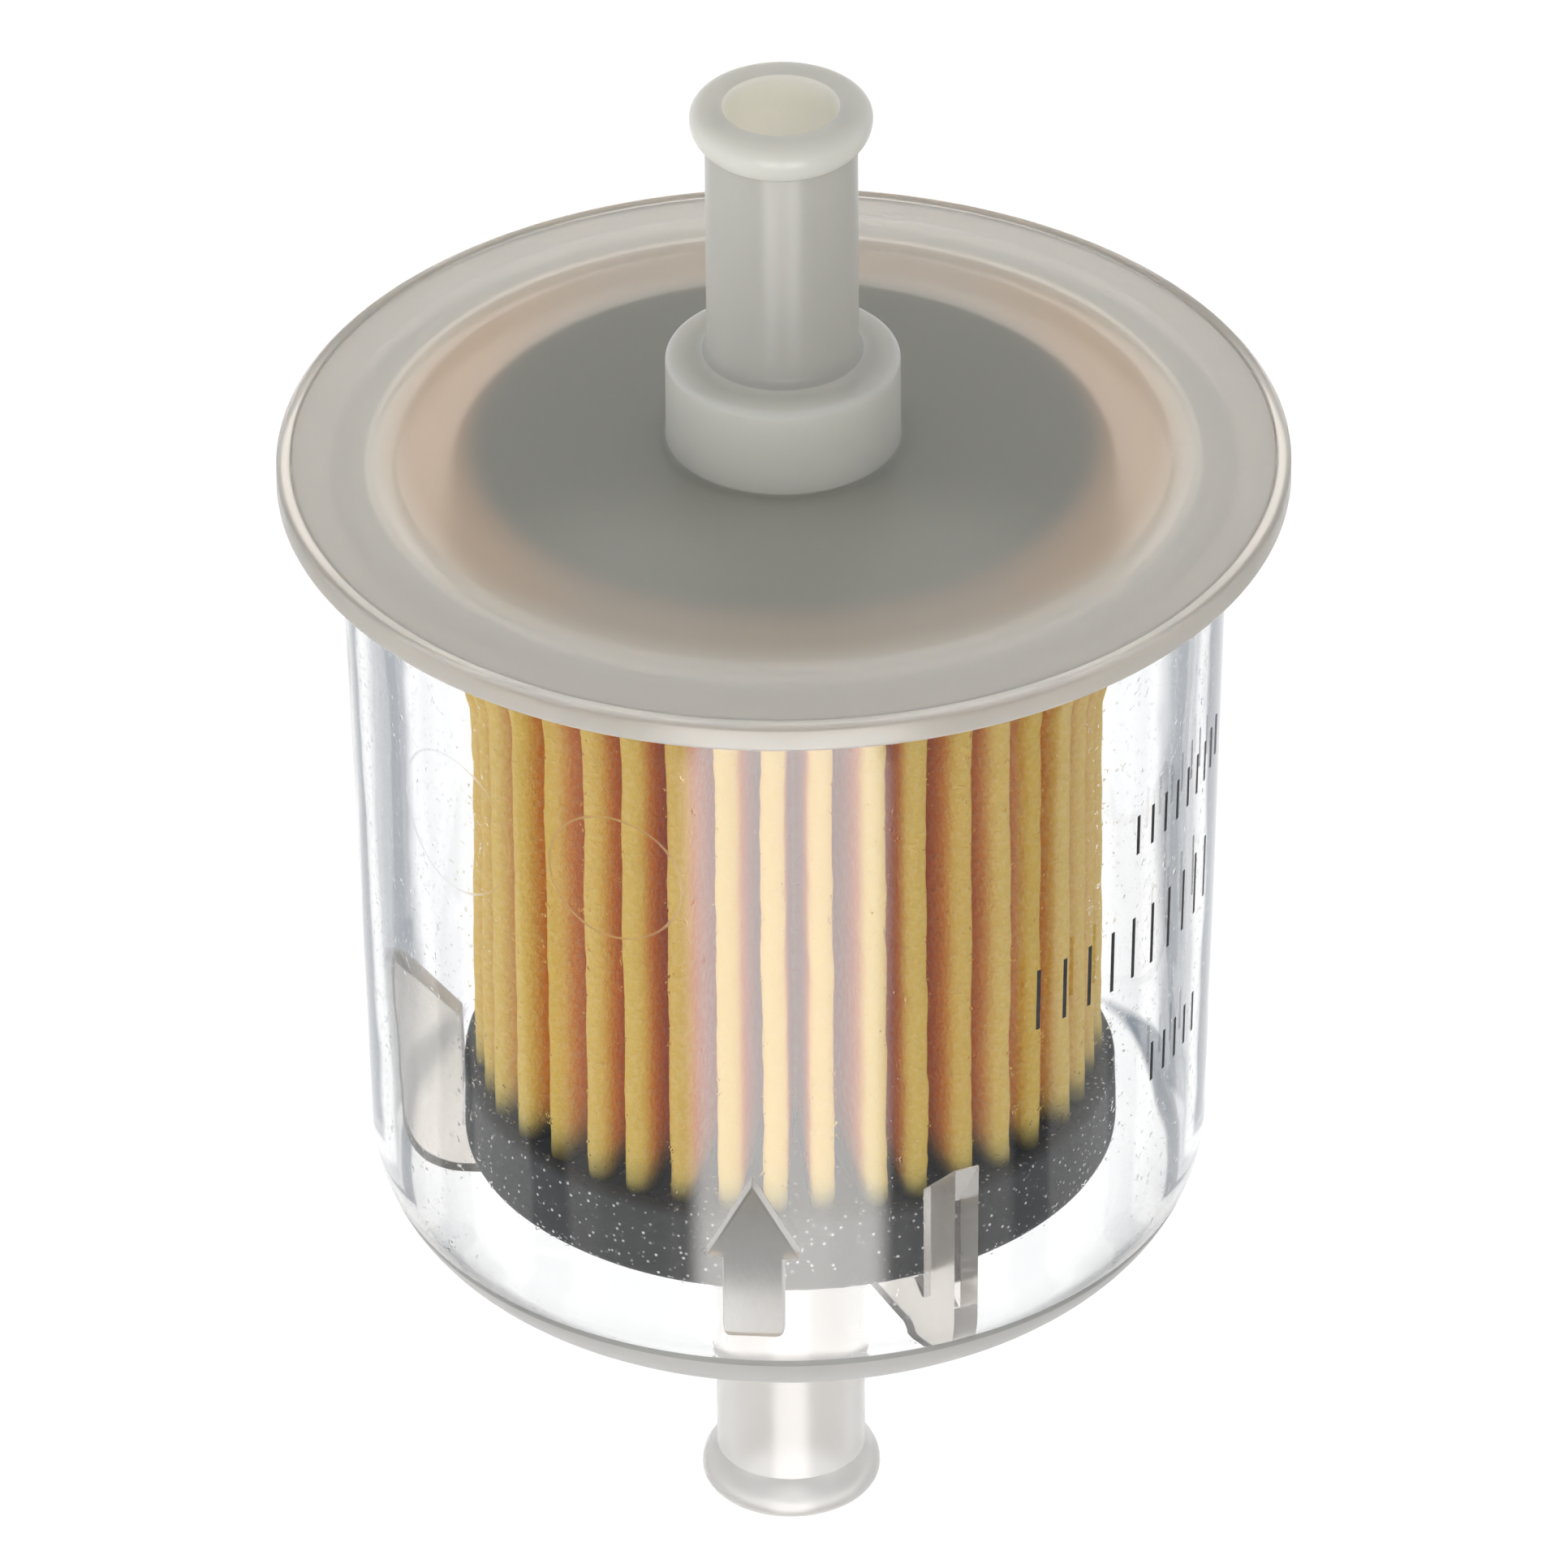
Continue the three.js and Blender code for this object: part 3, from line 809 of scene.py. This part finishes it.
def make_paper():
    bottom, top, levels = LOWER_CAP_TOP - 0.3, UPPER_CAP_Z + 0.3, 64
    dice = random.Random(7)
    lean = [math.radians(dice.uniform(-0.9, 0.9)) for _ in range(PLEATS)]
    reach = [dice.uniform(-0.25, 0.05) for _ in range(PLEATS)]
    bm = bmesh.new()
    rings = []
    for level in range(levels + 1):
        z = bottom + (top - bottom) * level / levels

        def wander(k, z=z):
            sway = noise.noise(Vector((k * 3.7, z * 0.45, 0.5)))
            sway += 0.6 * noise.noise(Vector((k * 5.1, z * 1.5, 9.5)))
            push = noise.noise(Vector((k * 2.9, z * 0.8, 4.5)))
            return lean[k] + math.radians(0.3) * sway, reach[k] + 0.05 * push

        line = pleat_line(wander)
        count = len(line)
        outer, inner = [], []
        for i in range(count):
            along = (line[(i + 1) % count] - line[i - 1]).normalized()
            across = Vector((along.y, -along.x)) * PAPER_THICK / 2
            for side, ring in ((1, outer), (-1, inner)):
                x, y = line[i] + across * side
                ring.append(bm.verts.new((x * MM, y * MM, z * MM)))
        rings.append((outer, inner))
    for below, above in zip(rings, rings[1:]):
        for side in (0, 1):
            low, high = below[side], above[side]
            for i in range(count):
                j = (i + 1) % count
                bm.faces.new((low[i], low[j], high[j], high[i]))
    for outer, inner in (rings[0], rings[-1]):
        for i in range(count):
            j = (i + 1) % count
            bm.faces.new((outer[i], outer[j], inner[j], inner[i]))
    paper = new_object("paper", bm, 60)
    paper.data.materials.append(PAPER)
    return paper


def make_end_caps():
    lower = turned(
        "lower_end_cap_piece",
        rounded(
            [
                (0, LOWER_CAP_Z, 0),
                (END_CAP_R, LOWER_CAP_Z, 0.6),
                (END_CAP_R, LOWER_CAP_TOP, 0.35),
                (PLEAT_TIP_R - 0.1, LOWER_CAP_TOP, 0.1),
                (PLEAT_TIP_R - 0.5, LOWER_CAP_TOP - 0.15, 0.1),
                (0, LOWER_CAP_TOP - 0.15, 0),
            ]
        ),
    )
    close_poles(lower)
    upper = turned(
        "upper_end_cap_piece",
        rounded(
            [
                (END_CAP_HOLE_R, UPPER_CAP_Z, 0.2),
                (END_CAP_R, UPPER_CAP_Z, 0.4),
                (END_CAP_R, UPPER_CAP_TOP, 0.6),
                (END_CAP_HOLE_R, UPPER_CAP_TOP, 0.2),
            ]
        ),
    )
    for cap in (lower, upper):
        cap.data.materials.append(PLASTISOL)
    return lower, upper


def make_seam():
    """The glue line that closes the paper, at the back."""
    middle_r, depth, thick = 10.5, 2.2, 0.35
    bm = bmesh.new()
    bmesh.ops.create_cube(bm, size=1)
    a = PHASE + math.pi
    height = UPPER_CAP_Z - LOWER_CAP_TOP
    bmesh.ops.scale(bm, vec=Vector((depth, thick, height)) * MM, verts=bm.verts)
    bmesh.ops.bevel(bm, geom=bm.edges, offset=0.1 * MM, segments=3, affect="EDGES")
    place = Vector((math.cos(a) * middle_r, math.sin(a) * middle_r, LOWER_CAP_TOP + height / 2)) * MM
    placed = Matrix.Translation(place) @ Matrix.Rotation(a, 4, "Z")
    bmesh.ops.transform(bm, matrix=placed, verts=bm.verts)
    seam = new_object("glue_seam", bm)
    seam.data.materials.append(GLUE)
    return seam


# ---------------------------------------------------------------- camera and light

CAMERA_ELEVATION = math.radians(33.1)
CAMERA_ROLL = math.radians(-0.45)
CAMERA_DISTANCE = 0.95
CAMERA_LENS = 498.4
CAMERA_SHIFT = (-0.096, -0.167, 0)  # in the camera's own x and y, in millimetres
AIM_Z = (FLANGE_TOP - 17.0) * MM
FLOOR_LIGHT = 1.05
WINDOW = (9.4, 9.1, 8.8)
TABLE_LIGHT = 1.25
STRIP = (0.21, 0.25, 0.30)
GLOW_LEFT, GLOW_RIGHT = 2.9, 1.1
ASKEW_LIGHT = 0.45


def make_camera():
    data = bpy.data.cameras.new("camera")
    data.sensor_width = 36
    data.lens = CAMERA_LENS
    data.clip_start = 0.01
    camera = bpy.data.objects.new("camera", data)
    bpy.context.scene.collection.objects.link(camera)
    e = CAMERA_ELEVATION
    back = Vector((0, -math.cos(e), math.sin(e)))
    turn = back.to_track_quat("Z", "Y").to_matrix() @ Matrix.Rotation(CAMERA_ROLL, 3, "Z")
    aim = Vector((0, 0, AIM_Z)) + turn @ Vector(CAMERA_SHIFT) * MM
    camera.matrix_world = Matrix.Translation(aim + back * CAMERA_DISTANCE) @ turn.to_4x4()
    bpy.context.scene.camera = camera


def make_floor():
    """A plain white floor. Only the camera sees it: the studio lights the filter and shows through it."""
    bm = bmesh.new()
    bmesh.ops.create_circle(bm, cap_ends=True, segments=96, radius=3.0)
    floor = new_object("floor", bm)
    floor.location.z = -0.5 * MM
    n = Nodes("floor_white")
    n.finish(n.emission((FLOOR_LIGHT,) * 3))
    floor.data.materials.append(n.owner)
    for ray in ("diffuse", "glossy", "transmission", "volume_scatter", "shadow"):
        setattr(floor, f"visible_{ray}", False)


def make_studio():
    """Soft light from all round, a pale table below, and a bright window low in front.

    The clear bowl shows the table bent or mirrored. The table is white straight behind the filter, seen
    from each of its four sides, with a darker strip on either side of that, which draws the bowl's edges.
    """
    world = bpy.data.worlds.new("studio")
    bpy.context.scene.world = world
    n = Nodes("studio", world)
    x, y, z = n.xyz()
    path = n.add("ShaderNodeLightPath")
    from_back = n.math("DEGREES", n.math("ABSOLUTE", n.math("ARCTAN2", x, y)))
    from_side = n.math("PINGPONG", from_back, 45.0)
    strip = ((0, 0.0), (10, 0.0), (12, 0.9), (23, 1.0), (26, 0.1), (33, 0.1), (37, 0.45))
    shade = n.levels(from_side, 45, *strip)
    table = n.mix(shade, (TABLE_LIGHT,) * 3, STRIP)
    mirrored = n.levels(from_back, 180, (0, 1.0), (30, 0.9), (50, 0.13), (150, 0.13))
    mirrored = n.mix(n.rise(from_back, 150, 158), mirrored, WINDOW)
    low = n.mix(path.outputs["Is Reflection Ray"], table, mirrored)
    steepness = n.math("MULTIPLY", z, -1.0)
    aslant = n.math("MULTIPLY", n.rise(steepness, 0.05, 0.25), n.rise(steepness, 0.97, 0.85))
    askew = n.mix(path.outputs["Is Transmission Ray"], (0.98,) * 3, (ASKEW_LIGHT,) * 3)
    low = n.mix(aslant, askew, low)
    glow = n.ramp(n.math("MULTIPLY_ADD", x, 0.5, 0.5), (0.0, (GLOW_LEFT,) * 3), (1.0, (GLOW_RIGHT,) * 3))
    low = n.mix(path.outputs["Is Diffuse Ray"], low, glow)
    high = n.ramp(z, (0.0, (0.9,) * 3), (0.12, (0.83,) * 3), (0.4, (0.62,) * 3), (1.0, (0.85,) * 3))
    background = n.add("ShaderNodeBackground")
    n.feed(background.inputs["Color"], n.mix(n.math("GREATER_THAN", z, 0.0), low, high))
    n.finish(background.outputs[0])


make_camera()
make_floor()
make_studio()
bpy.context.scene.view_settings.view_transform = "Standard"
bpy.context.scene.cycles.transparent_max_bounces = 24
bpy.context.scene.cycles.transmission_bounces = 24
bpy.context.scene.cycles.max_bounces = 32

bowl = make_bowl()
marks = make_marks()
cap = make_cap()
paper = make_paper()
lower_end_cap, upper_end_cap = make_end_caps()
seam = make_seam()

for piece, node, slot in (
    (bowl, "inlet_bowl", "clear_nylon"),
    (marks, "inlet_bowl", "marking_ink"),
    (cap, "outlet_cap", "milky_nylon"),
    (paper, "pleated_paper", "filter_paper"),
    (lower_end_cap, "lower_end_cap", "plastisol"),
    (upper_end_cap, "upper_end_cap", "plastisol"),
    (seam, "paper_seam", "seam_glue"),
):
    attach(piece, "root")
    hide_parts(node)
